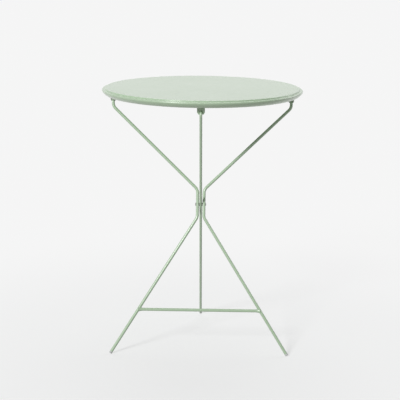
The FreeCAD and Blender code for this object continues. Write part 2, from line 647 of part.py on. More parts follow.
# Crossbar: round bar between the side legs, with a weld bead at each end, fitted to the legs' round sides.

bar = new_body("crossbar_stock")
half = new_sketch(bar, "XY_Plane", "CrossbarHalf")
bar_side = "Sizes.bar_rod / 2"
bead = "Sizes.bar_rod / 2 + Sizes.weld_width"
weld_start = "Worked.bar_half - Sizes.side_rod / 2 - Sizes.weld_length"
bar_points = [
    ("-Worked.bar_half", "0"),
    ("-Worked.bar_half", bead),
    (f"-({weld_start})", bar_side),
    (weld_start, bar_side),
    ("Worked.bar_half", bead),
    ("Worked.bar_half", "0"),
]
draw_outline(half, bar_points)
revolve(bar, half, "CrossbarSpin", "H_Axis")
put(bar, y="-Worked.bar_front", z="Sizes.crossbar_height")


def boolean_cut(label, base, tool):
    result = doc.addObject("Part::Cut", label)
    result.Label = label
    result.Base = base
    result.Tool = tool
    doc.recompute()
    return result


bar_left_fitted = boolean_cut("crossbar_left_fit", bar, left_leg)
nodes.append(boolean_cut("crossbar", bar_left_fitted, right_leg))


# Centre leg: straight rod from the rear foot through the waist, hooked back at its top into a headed peg.

centre_leg = new_body("centre_leg")
leg_path = new_sketch(centre_leg, "YZ_Plane", "CentreLegPath")
leg_corners = [
    ("-Worked.peg_end", "Worked.peg_height"),
    ("-Worked.hook_front", "Worked.peg_height"),
    ("Worked.rear_end_back", "Worked.rear_end_height"),
]
draw_rod_path(leg_path, leg_corners, "Sizes.hook_radius")
peg_place = {"y": "Worked.peg_height", "z": "Worked.peg_end"}
leg_round = new_sketch(centre_leg, "XZ_Plane", "CentreLegRound", peg_place)
draw_circle(leg_round, "Sizes.centre_rod / 2")
leg_rod = sweep(centre_leg, leg_round, leg_path, "CentreLegRod")
rear_end = (0, value("Worked.rear_end_back"), value("Worked.rear_end_height"))
drill_end(centre_leg, leg_rod, "centre_leg", rear_end)
head = new_sketch(centre_leg, "XZ_Plane", "PegHead", peg_place)
draw_circle(head, "Sizes.peg_head_diameter / 2")
pad(centre_leg, head, "PegHeadPad", "Sizes.peg_head_length", symmetric=False, reverse=True)
waist_place = {"x": "-Worked.waist_front", "y": "Sizes.waist_height"}
leg_hole = new_sketch(centre_leg, "YZ_Plane", "CentreLegHole", waist_place)
draw_circle(leg_hole, "Worked.bolt_hole")
cut(centre_leg, leg_hole, "CentreLegDrilling")
for where, face, outward in (("right", "Worked.centre_flat", True), ("left", "-Worked.centre_flat", False)):
    flat = new_sketch(centre_leg, "YZ_Plane", f"CentreLegFlat_{where}", {**waist_place, "z": face})
    draw_circle(flat, "Worked.spotface_radius")
    cut(centre_leg, flat, f"CentreLegSpotface_{where}", "2 * Sizes.spotface_depth", reverse=outward)
nodes.append(centre_leg)


# Waist hardware: one bolt through the three legs, with spacers between them and washers outside.

waist_bolt = domed_bolt("waist_bolt", "Worked.waist_end", "Worked.waist_end + Sizes.nut_engagement")
waist_nut = cap_nut("waist_nut", "Worked.waist_end")
left_spacer = washer("left_waist_spacer", "-Worked.spacer_end", "Sizes.spacer_thickness")
right_spacer = washer("right_waist_spacer", "Worked.spacer_start", "Sizes.spacer_thickness")
left_washer = washer("left_waist_washer", "-Worked.waist_end", "Sizes.waist_washer_sheet")
right_washer = washer("right_waist_washer", "Worked.waist_seat", "Sizes.waist_washer_sheet")
for item in (waist_bolt, waist_nut, left_spacer, right_spacer, left_washer, right_washer):
    put(item, y="-Worked.waist_front", z="Sizes.waist_height")
    nodes.append(item)


# Foot glides: plastic plugs in the rods' ends, worn flat where they stand.

floor_block = doc.addObject("Part::Box", "FloorBlock")
for size, expression in (("Length", "4 * Sizes.foot_half_span"), ("Width", "4 * Sizes.foot_half_span"),
                         ("Height", "Sizes.floor_cut")):
    floor_block.setExpression(size, expression)
put(floor_block, "-2 * Sizes.foot_half_span", "-2 * Sizes.foot_half_span", "-Sizes.floor_cut")


def foot_glide(label, rod, end, direction):
    """Plug whose head continues a rod of a diameter from its end along a direction to the floor."""
    plug = new_body(label + "_plug")
    half = new_sketch(plug, "XZ_Plane", label + "_half")
    side = f"{rod} / 2"
    stem = "Sizes.glide_stem_diameter / 2"
    edge = "Sizes.glide_rounding"
    points = [
        ("0", "-Sizes.glide_stem_length"),
        (stem, "-Sizes.glide_stem_length"),
        (stem, "0"),
        (side, "0"),
        (side, f"Sizes.glide_head - {edge}"),
        (f"{side} - {edge}", "Sizes.glide_head"),
        ("0", "Sizes.glide_head"),
    ]
    draw_outline(half, points, {4: (ANTICLOCKWISE, (f"{side} - {edge}", f"Sizes.glide_head - {edge}"))})
    revolve(plug, half, label + "_spin", "V_Axis")
    plug.Placement = FreeCAD.Placement(end, FreeCAD.Rotation(Vector(0, 0, 1), direction))
    doc.recompute()
    return boolean_cut(label, plug, floor_block)


frame_up = FRAME_TURN.multVec(Vector(0, 1, 0))
for name, side, _ in SIDES:
    floor_point = Vector(value(side + "Sizes.foot_half_span"), -value("Sizes.front_reach"), 0)
    bend_point = Vector(value(side + "Worked.waist_offset"), -value("Sizes.front_reach"), 0)
    bend_point += frame_up * value("Worked.low_bend")
    down = (floor_point - bend_point).normalize()
    rod_end = floor_point - down * value("Worked.side_cut")
    nodes.append(foot_glide(f"{name}_foot_glide", "Sizes.side_rod", rod_end, down))
lean = math.radians(value("Worked.rear_lean"))
rear_down = Vector(0, math.sin(lean), -math.cos(lean))
nodes.append(foot_glide("rear_foot_glide", "Sizes.centre_rod", Vector(*rear_end), rear_down))


# Every object has to be sound before anything is written.

doc.recompute()
for item in doc.Objects:
    if "Invalid" in item.State or "Error" in item.State:
        raise RuntimeError(f"{item.Label} failed: {item.State}")
for node in nodes:
    if node.Shape.isNull() or not node.Shape.isValid() or len(node.Shape.Solids) != 1:
        raise RuntimeError(f"{node.Label} is not one valid solid")

os.makedirs("parts", exist_ok=True)
for node in nodes:
    node.Shape.exportStep(f"parts/{node.Label}.step")
    print(node.Label, round(node.Shape.Volume, 1))
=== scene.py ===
"""Folding bistro table: painted rods and top, zinc hardware, plastic glides and a plain studio."""

import json
import math

import bmesh
import bpy
from bpy.props import FloatProperty, FloatVectorProperty, PointerProperty
from mathutils import Matrix, Vector


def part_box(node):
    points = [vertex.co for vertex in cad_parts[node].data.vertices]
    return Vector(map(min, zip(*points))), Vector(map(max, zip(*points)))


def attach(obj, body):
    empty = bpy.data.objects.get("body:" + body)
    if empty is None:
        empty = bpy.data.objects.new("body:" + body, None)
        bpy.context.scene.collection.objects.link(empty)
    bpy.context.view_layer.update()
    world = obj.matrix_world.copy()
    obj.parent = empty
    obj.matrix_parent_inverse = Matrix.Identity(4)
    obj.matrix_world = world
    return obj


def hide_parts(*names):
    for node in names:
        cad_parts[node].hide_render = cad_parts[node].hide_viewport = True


bl_info = {
    "name": "Folding Bistro Table",
    "version": (1, 0, 0),
    "blender": (4, 5, 0),
    "location": "View3D > Sidebar > Table",
    "description": "Dresses the folding table's frame in paint, zinc and plastic, and sets it in a studio",
    "category": "Object",
}

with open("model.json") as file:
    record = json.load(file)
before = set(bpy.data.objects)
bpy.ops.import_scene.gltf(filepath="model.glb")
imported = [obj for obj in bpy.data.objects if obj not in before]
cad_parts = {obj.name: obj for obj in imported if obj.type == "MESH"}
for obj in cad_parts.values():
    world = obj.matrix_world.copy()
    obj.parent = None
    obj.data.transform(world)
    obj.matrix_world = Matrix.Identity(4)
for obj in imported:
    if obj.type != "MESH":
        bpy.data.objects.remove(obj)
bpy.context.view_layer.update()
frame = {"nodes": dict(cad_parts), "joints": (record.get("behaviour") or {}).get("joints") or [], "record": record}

# The hinge line of the top and the waist bolt give the leaning plane of the side legs.
JOINTS = {joint["name"]: joint for joint in frame["joints"]}
HINGE = Vector(JOINTS["top_tilt"]["pos_m"])
WAIST = Vector(JOINTS["centre_leg_fold"]["pos_m"])
FRAME_UP = (HINGE - WAIST).normalized()
SIDES = {"left": -1, "right": 1}

# Fineness of the top: steps round it, rings on its flat, and steps of each curve of its section.
TOP_STEPS = 288
TOP_RINGS = (0, 0.02, 0.1, 0.2)
LAST_RING_INSET = 0.003
OUTER_STEPS = {"shoulder": 8, "fillet": 4, "roll": 20, "skirt": 16, "lip": 8}
INNER_STEPS = {"skirt": 10, "roll": 12, "shoulder": 5}

# Fineness of the other meshes.
ROD_SIDES = 40
BEND_STEPS = 14
FLARE_STEPS = 8
HARDWARE_STEPS = 48
DOME_STEPS = 10
PEG_EDGE_STEPS = 5
WASHER_EDGE_STEPS = 3
EDGE_SEGMENTS = 3
BEAD_SIDES = 14
RIPPLE_POINTS = 8
FLOOR_SIDES = 96

# Edges sharper than the crease stay sharp; closer points and flatter edges than these are joined.
CREASE = math.radians(38)
SAME_POINT = 1e-6
SAME_PLANE = math.radians(0.5)

# Weld beads, as shares: of the bead's radius, of a bracket's half length, and of the catch's flange.
RIPPLE_DEPTH = 0.16
END_TAPER = 0.6
TAPER_POWER = 5
BRACKET_STITCHES = ((-0.85, -0.2), (0.2, 0.85))
FLANGE_START = 0.35
FLANGE_SPAN = 0.7

# The floor reaches past every view and fades into the backdrop, away from a point below the table.
FLOOR_RADIUS = 60
FADE_CENTRE = (0, -0.3, 0)
FADE_NEAR, FADE_FAR = 0.4, 1.5
FADE_LEAST, FADE_MOST = 0.65, 0.97
MOTTLE_GAIN = 1.01

# Lamps: azimuth from the front to the right, height and softness, in degrees.
LAMPS = {"key": (-34, 31, 13), "front": (-18, 10, 24), "side": (122, 22, 40), "back": (180, 58, 40)}
SENSOR_WIDTH = 36


# Sizes and colours that a user would change

def length(name, description, default):
    return FloatProperty(name=name, description=description, default=default, min=0, precision=5,
                         subtype="DISTANCE", unit="LENGTH")


def colour(name, description, default):
    return FloatVectorProperty(name=name, description=description, default=default, size=3,
                               min=0, max=1, subtype="COLOR")


def brightness(name, description, default):
    return FloatProperty(name=name, description=description, default=default, min=0)


def camera_angle(name, description, default):
    return FloatProperty(name=name, description=description, default=default,
                         subtype="ANGLE", unit="ROTATION")


class TableSizes(bpy.types.PropertyGroup):
    """Sizes of the sheet, rods and hardware."""

    top_diameter: length("Top", "Outside of the rolled rim", 0.6)
    sheet: length("Sheet", "Thickness of the pressed top", 0.0012)
    rim_radius: length("Rim", "Outer radius of the rim's roll", 0.0036)
    rim_step: length("Step", "Drop from the flat top to the rim's crown", 0.0038)
    shoulder: length("Shoulder", "Rounding of the edge of the flat top", 0.0022)
    ledge: length("Ledge", "Level ring between the step and the roll", 0.0052)
    step_fillet: length("Step fillet", "Rounding at the foot of the step", 0.0007)
    skirt_radius: length("Skirt", "Curve of the skirt from the roll in to the lip", 0.029)
    rim_drop: length("Rim drop", "Lower lip of the rim below the flat top", 0.021)
    lip_inset: length("Lip inset", "Lower lip inside the outside of the rim", 0.0134)
    side_rod: length("Side rod", "Diameter of the side legs and crossbar", 0.009)
    centre_rod: length("Centre rod", "Diameter of the centre leg", 0.008)
    bend: length("Bend", "Bends of the side legs, at the rod's middle", 0.024)
    hook_bend: length("Hook bend", "Bend of the centre leg's hook", 0.007)
    hook_inset: length("Hook inset", "Hook's corner inside the outside of the rim", 0.023)
    stub_rise: length("Stub rise", "Side leg above its hinge", 0.007)
    stub_length: length("Stub", "Hinge to the first bend of a side leg", 0.022)
    waist_above: length("Above waist", "Waist bolt to the bends above it", 0.044)
    waist_below: length("Below waist", "Waist bolt to the bends below it", 0.039)
    foot_half_span: length("Foot span", "Middle of the table to a front foot", 0.261)
    glide_head: length("Glide", "Visible length of a foot glide", 0.006)
    sole_trim: length("Sole", "Flat worn onto a glide", 0.0008)
    scuff_height: length("Scuff height", "Rubbed part of a glide above the floor", 0.0045)
    spotface_depth: length("Spotface", "Depth of the flats where washers sit", 0.0007)
    spotface_radius: length("Spotface radius", "Radius of those flats", 0.0047)
    bolt: length("Bolt", "Diameter of the bolts", 0.005)
    bolt_play: length("Bolt play", "Radial play of a bolt in its hole", 0.00005)
    bolt_head: length("Bolt head", "Height of the domed bolt heads", 0.0018)
    peg_reach: length("Peg reach", "Front of the catch plate to the peg's head", 0.003)
    peg_head: length("Peg head", "Thickness of the centre leg's headed end", 0.003)
    peg_head_radius: length("Peg head radius", "Radius of the centre leg's headed end", 0.0065)
    edge: length("Edge", "Rounding of sheet edges and rod ends", 0.0003)
    weld_bead: length("Weld bead", "Radius of the weld beads", 0.0014)
    weld_flare: length("Weld flare", "Crossbar's swelling where it is welded", 0.0028)
    weld_run: length("Weld run", "Length of that swelling", 0.0135)
    weld_pitch: length("Weld pitch", "Ripple to ripple along a weld bead", 0.0017)


class TableFinish(bpy.types.PropertyGroup):
    """Colours of the three finishes."""

    paint: colour("Paint", "Sage green powder coat", (0.452, 0.590, 0.418))
    paint_shade: colour("Paint shade", "Deeper tone drifting through the coat", (0.424, 0.566, 0.388))
    zinc: colour("Zinc", "Dark zinc plate", (0.215, 0.225, 0.205))
    zinc_bloom: colour("Zinc bloom", "Paler patches of the plate", (0.36, 0.37, 0.35))
    plastic: colour("Plastic", "Glides", (0.29, 0.305, 0.295))
    scuff: colour("Scuff", "Rubbed plastic close to the floor", (0.40, 0.415, 0.405))


class StudioSettings(bpy.types.PropertyGroup):
    """Floor, lamps and camera."""

    floor: colour("Floor", "Pale floor below the table", (0.98, 0.99, 0.995))
    floor_bounce: colour("Bounce", "Floor's share of light thrown back up", (0.48, 0.48, 0.46))
    backdrop: brightness("Backdrop", "Brightness of the surroundings", 0.92)
    fill: brightness("Fill", "Soft light from all round", 0.1)
    key: brightness("Key", "Lamp from the front left", 2.3)
    front: brightness("Front", "Low lamp from the front", 0.12)
    side: brightness("Side", "Wide low lamp from the right", 0.6)
    back: brightness("Back", "Wide lamp from behind", 0.72)
    camera: FloatVectorProperty(name="Camera", description="Camera's place", size=3,
                                default=(0.04525, -3.4997, 1.21204), subtype="TRANSLATION", unit="LENGTH")
    pan: camera_angle("Pan", "Camera's turn to the left", 0.01399)
    pitch: camera_angle("Pitch", "Camera's look downwards", 0.22427)
    roll: camera_angle("Roll", "Camera's lean to the side", 0.01056)
    lens: FloatProperty(name="Lens", description="Focal length on a 36 mm sensor", default=105.62,
                        subtype="DISTANCE_CAMERA", unit="CAMERA")


# Mesh helpers

def add_object(name, data):
    item = bpy.data.objects.new(name, data)
    bpy.context.scene.collection.objects.link(item)
    return item


def object_from(bm, name):
    """Object with a finished bmesh as its mesh."""
    mesh = bpy.data.meshes.new(name)
    bm.to_mesh(mesh)
    bm.free()
    return add_object(name, mesh)


def arc(centre, radius, start, end, steps):
    """Points of an arc in a plane, from one angle in degrees to another."""
    points = []
    for index in range(steps + 1):
        angle = math.radians(start + (end - start) * index / steps)
        points.append((centre[0] + radius * math.cos(angle), centre[1] + radius * math.sin(angle)))
    return points


def lathe(profile, steps):
    """Closed solid of revolution about Z from (radius, height) points; points on the axis become poles."""
    bm = bmesh.new()
    columns = []
    for radius, height in profile:
        if radius == 0:
            columns.append([bm.verts.new((0, 0, height))])
            continue
        ring = []
        for index in range(steps):
            turn = 2 * math.pi * index / steps
            ring.append(bm.verts.new((radius * math.cos(turn), radius * math.sin(turn), height)))
        columns.append(ring)
    for here, there in zip(columns, columns[1:] + columns[:1]):
        if len(here) == 1 and len(there) == 1:
            continue
        for index in range(steps):
            following = (index + 1) % steps
            corners = [here[index % len(here)], here[following % len(here)],
                       there[following % len(there)], there[index % len(there)]]
            bm.faces.new(list(dict.fromkeys(corners)))
    bmesh.ops.recalc_face_normals(bm, faces=bm.faces)
    return bm


def along_x(bm, place, outward):
    """Turn a lathed piece's Z to the X axis, towards outward, and move it to its place."""
    turn = Matrix.Rotation(math.radians(90) * outward, 4, "Y")
    bm.transform(Matrix.Translation(place) @ turn)


def apply_modifiers(item):
    """Plain mesh of an object as its modifiers leave it; the modifiers are removed."""
    bpy.context.view_layer.update()
    graph = bpy.context.evaluated_depsgraph_get()
    made = bpy.data.meshes.new_from_object(item.evaluated_get(graph))
    made.name = item.name
    item.modifiers.clear()
    item.data = made


def boolean(item, cutter, operation):
    """Cut or join one mesh with another, which is then removed."""
    modifier = item.modifiers.new("Boolean", "BOOLEAN")
    modifier.operation = operation
    modifier.solver = "EXACT"
    modifier.object = cutter
    apply_modifiers(item)
    bpy.data.objects.remove(cutter)


def round_edges(item, width):
    """Round the edges that are sharper than the crease."""
    modifier = item.modifiers.new("Rounding", "BEVEL")
    modifier.width = width
    modifier.segments = EDGE_SEGMENTS
    modifier.limit_method = "ANGLE"
    modifier.angle_limit = CREASE
    apply_modifiers(item)


def shade(item):
    """Smooth shading, broken at creases."""
    item.data.shade_smooth()
    item.data.set_sharp_from_angle(angle=CREASE)


def node_copy(node, name):
    """Copy of a node's mesh with its triangles joined into whole faces."""
    bm = bmesh.new()
    bm.from_mesh(frame["nodes"][node].data)
    bmesh.ops.remove_doubles(bm, verts=bm.verts, dist=SAME_POINT)
    bmesh.ops.dissolve_limit(bm, angle_limit=SAME_PLANE, verts=bm.verts, edges=bm.edges)
    return object_from(bm, name)


def middle_of(node):
    low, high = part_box(node)
    return (low + high) / 2


def node_body(node):
    """Name of the body that a node rides on."""
    for body, members in frame["record"]["behaviour"]["bodies"].items():
        if node in members:
            return body
    raise ValueError(f"no body holds {node}")


# Geometry node trees

def new_tree(name, inputs):
    """Tree with a path as its input, named inputs for its sizes, and one geometry output."""
    tree = bpy.data.node_groups.new(name, "GeometryNodeTree")
    tree.interface.new_socket("Path", in_out="INPUT", socket_type="NodeSocketGeometry")
    for label, kind in inputs:
        tree.interface.new_socket(label, in_out="INPUT", socket_type=f"NodeSocket{kind}")
    tree.interface.new_socket("Geometry", in_out="OUTPUT", socket_type="NodeSocketGeometry")
    source = tree.nodes.new("NodeGroupInput").outputs
    return tree, source


def add_node(tree, kind, links, **settings):
    """First output of a new node, with its settings, and its inputs linked to sockets or set to values."""
    node = tree.nodes.new(kind)
    for name, setting in settings.items():
        setattr(node, name, setting)
    for key, given in links.items():
        if isinstance(given, bpy.types.NodeSocket):
            tree.links.new(given, node.inputs[key])
        else:
            node.inputs[key].default_value = given
    return node.outputs[0]


def math_node(tree, operation, *values):
    return add_node(tree, "ShaderNodeMath", dict(enumerate(values)), operation=operation)


def end_tree(tree, source, geometry):
    """Smooth, realized and painted result."""
    smooth = add_node(tree, "GeometryNodeSetShadeSmooth", {"Geometry": geometry})
    whole = add_node(tree, "GeometryNodeRealizeInstances", {"Geometry": smooth})
    painted = add_node(tree, "GeometryNodeSetMaterial", {"Geometry": whole, "Material": source["Material"]})
    output = tree.nodes.new("NodeGroupOutput")
    tree.links.new(painted, output.inputs["Geometry"])


def bent_rod_tree():
    """Round rod along straight runs, with true bends at the corners."""
    tree, source = new_tree("Bent Rod", [("Rod Radius", "Float"), ("Bend Radius", "Float"),
                                         ("Bend Steps", "Int"), ("Sides", "Int"), ("Material", "Material")])
    runs = add_node(tree, "GeometryNodeMeshToCurve", {"Mesh": source["Path"]})
    bends = {"Curve": runs, "Count": source["Bend Steps"], "Radius": source["Bend Radius"]}
    bent = add_node(tree, "GeometryNodeFilletCurve", bends, mode="POLY")
    ring = add_node(tree, "GeometryNodeCurvePrimitiveCircle",
                    {"Resolution": source["Sides"], "Radius": source["Rod Radius"]})
    swept = add_node(tree, "GeometryNodeCurveToMesh",
                     {"Curve": bent, "Profile Curve": ring, "Fill Caps": True})
    end_tree(tree, source, swept)
    return tree


def weld_bead_tree():
    """Rippled bead along paths; open paths can run out thin at their ends."""
    tree, source = new_tree("Weld Bead", [("Bead Radius", "Float"), ("Ripple Pitch", "Float"),
                                          ("Ripple Depth", "Float"), ("End Taper", "Float"),
                                          ("Sides", "Int"), ("Material", "Material")])
    runs = add_node(tree, "GeometryNodeMeshToCurve", {"Mesh": source["Path"]})
    step = math_node(tree, "DIVIDE", source["Ripple Pitch"], RIPPLE_POINTS)
    fine = add_node(tree, "GeometryNodeResampleCurve", {"Curve": runs, "Length": step}, mode="LENGTH")
    along = tree.nodes.new("GeometryNodeSplineParameter").outputs
    waves = math_node(tree, "DIVIDE", along["Length"], source["Ripple Pitch"])
    turn = math_node(tree, "MULTIPLY", waves, math.pi)
    ripple = math_node(tree, "ABSOLUTE", math_node(tree, "SINE", turn))
    lift = math_node(tree, "MULTIPLY_ADD", ripple, source["Ripple Depth"], 1)
    from_middle = math_node(tree, "ABSOLUTE", math_node(tree, "SUBTRACT", along["Factor"], 0.5))
    end_share = math_node(tree, "POWER", math_node(tree, "MULTIPLY", from_middle, 2), TAPER_POWER)
    taper = math_node(tree, "SUBTRACT", 1, math_node(tree, "MULTIPLY", end_share, source["End Taper"]))
    width = math_node(tree, "MULTIPLY", lift, taper)
    ring = add_node(tree, "GeometryNodeCurvePrimitiveCircle",
                    {"Resolution": source["Sides"], "Radius": source["Bead Radius"]})
    bead = add_node(tree, "GeometryNodeCurveToMesh",
                    {"Curve": fine, "Profile Curve": ring, "Scale": width, "Fill Caps": True})
    end_tree(tree, source, bead)
    return tree


def run_tree(tree, name, paths, closed=False, **values):
    """Object that a tree makes along paths of points; inputs are given by name with _ for a space."""
    bm = bmesh.new()
    for points in paths:
        row = [bm.verts.new(point) for point in points]
        ends = zip(row, row[1:] + row[:1]) if closed else zip(row, row[1:])
        for start, end in ends:
            bm.edges.new((start, end))
    item = object_from(bm, name)
    modifier = item.modifiers.new(tree.name, "NODES")
    modifier.node_group = tree
    for socket in tree.interface.items_tree:
        key = socket.name.replace(" ", "_").lower()
        if socket.in_out == "INPUT" and key in values:
            modifier[socket.identifier] = values[key]
    apply_modifiers(item)
    return item


# Materials

class Finish:
    """A material under construction, with its shader and short calls for its nodes."""

    def __init__(self, name):
        self.material = bpy.data.materials.new(name)
        self.material.use_nodes = True
        self.tree = self.material.node_tree
        self.shader = self.tree.nodes["Principled BSDF"]
        self.place = self.tree.nodes.new("ShaderNodeTexCoord").outputs["Object"]

    def noise(self, scale, detail=2.0, rough=0.5):
        links = {"Vector": self.place, "Scale": scale, "Detail": detail, "Roughness": rough}
        return add_node(self.tree, "ShaderNodeTexNoise", links)

    def spread(self, value, low, high, to_low=0.0, to_high=1.0, **settings):
        """Value from one range to another."""
        links = {"Value": value, "From Min": low, "From Max": high, "To Min": to_low, "To Max": to_high}
        return add_node(self.tree, "ShaderNodeMapRange", links, **settings)

    def mix(self, factor, first, second):
        """Colour between two, each a socket or a plain colour."""
        node = self.tree.nodes.new("ShaderNodeMix")
        node.data_type = "RGBA"
        self.tree.links.new(factor, node.inputs["Factor"])
        for name, given in (("A", first), ("B", second)):
            socket = next(s for s in node.inputs if s.name == name and s.type == "RGBA")
            if isinstance(given, bpy.types.NodeSocket):
                self.tree.links.new(given, socket)
            else:
                socket.default_value = (*given, 1)
        return next(s for s in node.outputs if s.type == "RGBA")

    def bump(self, height, strength, distance):
        links = {"Height": height, "Strength": strength, "Distance": distance}
        return add_node(self.tree, "ShaderNodeBump", links)

    def set(self, **inputs):
        """Set or link the shader's inputs, named with _ for a space."""
        for key, given in inputs.items():
            socket = self.shader.inputs[key.replace("_", " ")]
            if isinstance(given, bpy.types.NodeSocket):
                self.tree.links.new(given, socket)
            else:
                socket.default_value = given


def sage_powder_coat(scene):
    """Semi-gloss powder coat: faint drift of tone, fine specks and an orange-peel skin."""
    colours = scene.table_finish
    finish = Finish("sage_powder_coat")
    drift = finish.spread(finish.noise(scale=7.0, detail=3.0), low=0.35, high=0.65)
    tone = finish.mix(drift, colours.paint, colours.paint_shade)
    specks = finish.spread(finish.noise(scale=2600.0, detail=1.0), low=0.62, high=0.74, to_high=0.22)
    tone = finish.mix(specks, tone, colours.paint_shade)
    gloss = finish.spread(finish.noise(scale=60.0, detail=3.0), low=0.3, high=0.7, to_low=0.33, to_high=0.39)
    peel = finish.bump(finish.noise(scale=620.0), strength=0.16, distance=0.00025)
    finish.set(Base_Color=tone, Roughness=gloss, Normal=peel, Coat_Weight=0.8, Coat_Roughness=0.22)
    return finish.material


def dark_zinc_plate(scene):
    """Zinc-plated steel: cloudy plate, satin and a little paler in patches."""
    colours = scene.table_finish
    finish = Finish("dark_zinc_plate")
    cloud = finish.spread(finish.noise(scale=420.0, detail=4.0, rough=0.6), low=0.35, high=0.7)
    tone = finish.mix(cloud, colours.zinc, colours.zinc_bloom)
    satin = finish.spread(finish.noise(scale=900.0, detail=3.0), low=0.3, high=0.7, to_low=0.34, to_high=0.52)
    grain = finish.bump(finish.noise(scale=3200.0), strength=0.12, distance=0.0001)
    finish.set(Base_Color=tone, Roughness=satin, Normal=grain, Metallic=0.9)
    return finish.material


def glide_plastic(scene):
    """Moulded plastic, rubbed paler towards the floor."""
    colours = scene.table_finish
    finish = Finish("glide_plastic")
    height = add_node(finish.tree, "ShaderNodeSeparateXYZ", {"Vector": finish.place}).node.outputs["Z"]
    near_floor = finish.spread(height, low=0.0, high=scene.table_sizes.scuff_height, to_low=1.0, to_high=0.0)
    rubbed = finish.spread(finish.noise(scale=900.0, detail=3.0), low=0.4, high=0.62)
    wear = math_node(finish.tree, "MULTIPLY", near_floor, rubbed)
    tone = finish.mix(wear, colours.plastic, colours.scuff)
    dull = finish.spread(finish.noise(scale=1400.0), low=0.3, high=0.7, to_low=0.48, to_high=0.66)
    skin = finish.bump(finish.noise(scale=2400.0), strength=0.2, distance=0.0001)
    finish.set(Base_Color=tone, Roughness=dull, Normal=skin)
    return finish.material


def studio_floor(stage):
    """Matt floor with a faint mottle, clear from below, which throws less light back than it shows.

    It fades into the backdrop by a glow of the backdrop's brightness, which lights nothing itself.
    """
    finish = Finish("studio_floor")
    tree = finish.tree
    seen = seen_rays(tree)
    mottle = finish.spread(finish.noise(scale=1.3, detail=3.0), low=0.3, high=0.7)
    paler = tuple(min(1.0, channel * MOTTLE_GAIN) for channel in stage.floor)
    shown = finish.mix(mottle, stage.floor, paler)
    finish.set(Base_Color=finish.mix(seen, stage.floor_bounce, shown), Roughness=0.9, Specular_IOR_Level=0.0)
    offset = add_node(tree, "ShaderNodeVectorMath", {0: finish.place, 1: FADE_CENTRE}, operation="DISTANCE")
    fade = finish.spread(offset.node.outputs["Value"], FADE_NEAR, FADE_FAR, FADE_LEAST, FADE_MOST,
                         interpolation_type="SMOOTHSTEP")
    glow = add_node(tree, "ShaderNodeEmission", {"Strength": stage.backdrop})
    faded = mix_shaders(tree, math_node(tree, "MULTIPLY", fade, seen), finish.shader.outputs["BSDF"], glow)
    below = tree.nodes.new("ShaderNodeNewGeometry").outputs["Backfacing"]
    clear = tree.nodes.new("ShaderNodeBsdfTransparent").outputs["BSDF"]
    surface = mix_shaders(tree, below, faded, clear)
    tree.links.new(surface, tree.nodes["Material Output"].inputs["Surface"])
    finish.material.cycles.emission_sampling = "NONE"
    return finish.material


def mix_shaders(tree, factor, first, second):
    return add_node(tree, "ShaderNodeMixShader", {0: factor, 1: first, 2: second})


def seen_rays(tree):
    """1 for rays that show a surface: from the camera, in reflections and through glass."""
    path = tree.nodes.new("ShaderNodeLightPath").outputs
    seen = math_node(tree, "MAXIMUM", path["Is Camera Ray"], path["Is Glossy Ray"])
    return math_node(tree, "MAXIMUM", seen, path["Is Transmission Ray"])


MAKERS = {"sage_paint": sage_powder_coat, "dark_zinc": dark_zinc_plate, "glide_plastic": glide_plastic}


def finish_for(context, slot):
    """The slot's material, made at its first use."""
    name = MAKERS[slot].__name__
    return bpy.data.materials.get(name) or MAKERS[slot](context.scene)


def settle(context, item, body, slot, *nodes):
    """Give a finished piece its slot's material, hang it on its body, and hide the nodes that it stands for."""
    item.data.materials.clear()
    item.data.materials.append(finish_for(context, slot))
    shade(item)
    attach(item, body)
    if nodes:
        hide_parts(*nodes)


# Rods

def rod(context, name, corners, diameter, bend):
    """Painted rod along its corners."""
    tree = bpy.data.node_groups.get("Bent Rod") or bent_rod_tree()
    return run_tree(tree, name, [corners], rod_radius=diameter / 2, bend_radius=bend, bend_steps=BEND_STEPS,
                    sides=ROD_SIDES, material=finish_for(context, "sage_paint"))


def drilling(sizes, place, flat):
    """Cutter across a rod: the bolt hole and a spotface from x = flat outwards on both sides."""
    hole = sizes.bolt / 2 + sizes.bolt_play
    reach = flat + 2 * sizes.spotface_depth
    wide = sizes.spotface_radius
    profile = [(0, -reach), (wide, -reach), (wide, -flat), (hole, -flat), (hole, flat), (wide, flat),
               (wide, reach), (0, reach)]
    bm = lathe(profile, HARDWARE_STEPS)
    along_x(bm, place, 1)
    return object_from(bm, "drilling")


def foot_cut(sizes, direction, diameter):
    """Length from the floor to the end of a rod, along a leg that points down in a direction."""
    upright = -direction.z
    slant = math.sqrt(1 - upright ** 2)
    return (diameter / 2 * slant - sizes.sole_trim) / upright + sizes.glide_head


def waist_offset(sizes):
    """Middle of the table to a side leg's axis at the waist."""
    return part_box("right_leg")[0].x + sizes.side_rod / 2


def side_leg_corners(sizes, side):
    """Corners of a side leg, from its stub at the hinge to its foot."""
    hinge = Vector((middle_of(f"{side}_hinge_bracket").x, HINGE.y, HINGE.z))
    waist = Vector((SIDES[side] * waist_offset(sizes), WAIST.y, WAIST.z))
    low = waist - FRAME_UP * sizes.waist_below
    floor = WAIST - FRAME_UP * (WAIST.z / FRAME_UP.z)
    floor.x = SIDES[side] * sizes.foot_half_span
    down = (floor - low).normalized()
    return [
        hinge + FRAME_UP * sizes.stub_rise,
        hinge - FRAME_UP * sizes.stub_length,
        waist + FRAME_UP * sizes.waist_above,
        low,
        floor - down * foot_cut(sizes, down, sizes.side_rod),
    ]


# Operators, one for each piece or group of like pieces

